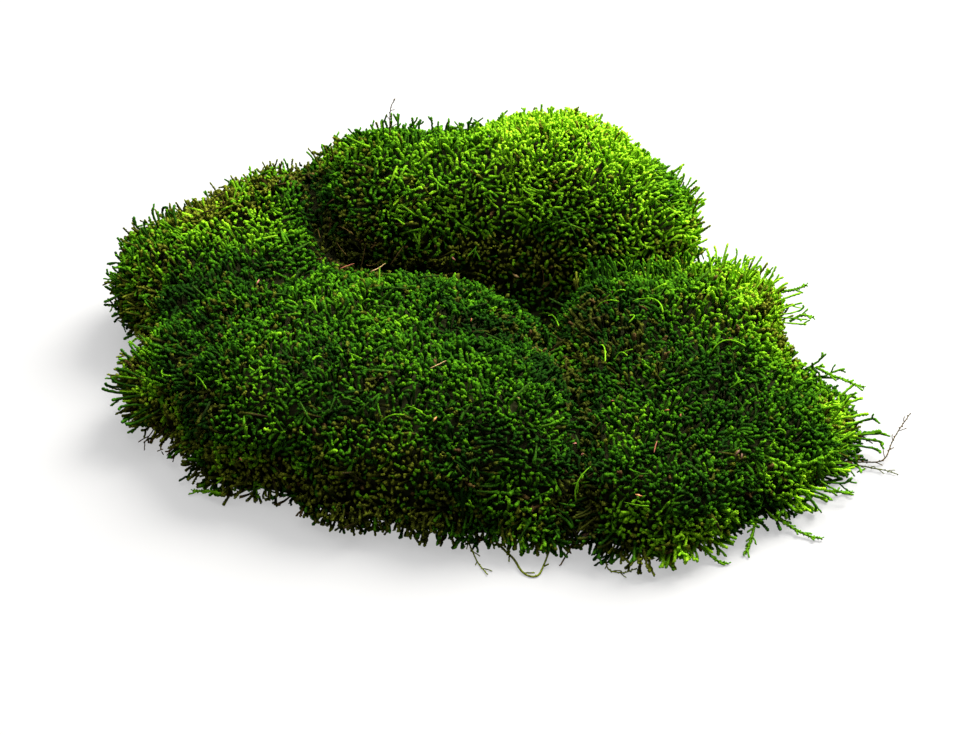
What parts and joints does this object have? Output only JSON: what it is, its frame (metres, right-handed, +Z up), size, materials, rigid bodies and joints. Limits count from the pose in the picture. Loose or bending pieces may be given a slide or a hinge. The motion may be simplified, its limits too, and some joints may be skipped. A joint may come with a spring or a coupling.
{
  "type": "moss clump",
  "caption": "Clump of carpet moss: three leaning cushions of leafy shoots with flat undersides, long shoots trailing from the rims and a few fallen needles.",
  "frame": {"origin": "on the surface the clump lies on, below the middle of its box", "axes": "+X to the right as seen from the low front side, along the clump's length; +Y to the tall back cushion; +Z up"},
  "size_m": [0.3254, 0.2402, 0.0951],
  "materials": {
    "living_moss": null,
    "bare_stem": null,
    "dry_litter": null
  },
  "bodies": {
    "root": {"back_cushion": "living_moss", "front_cushion": "living_moss", "right_cushion": "living_moss", "right_shoot_low": "living_moss", "right_shoot_high": "living_moss", "fringe_shoot_1": "living_moss", "fringe_shoot_2": "living_moss", "corner_shoot": "living_moss", "corner_stub": "living_moss", "front_shoot": "living_moss", "left_shoot": "living_moss", "runner": "bare_stem", "runner_fork": "bare_stem", "front_strand": "bare_stem", "loop_shoot": "bare_stem", "fallen_stem": "bare_stem", "thin_shoot": "bare_stem", "crest_stem": "bare_stem", "needle_1": "dry_litter", "needle_2": "dry_litter", "straw_1": "dry_litter", "straw_2": "dry_litter"}
  },
  "joints": []
}
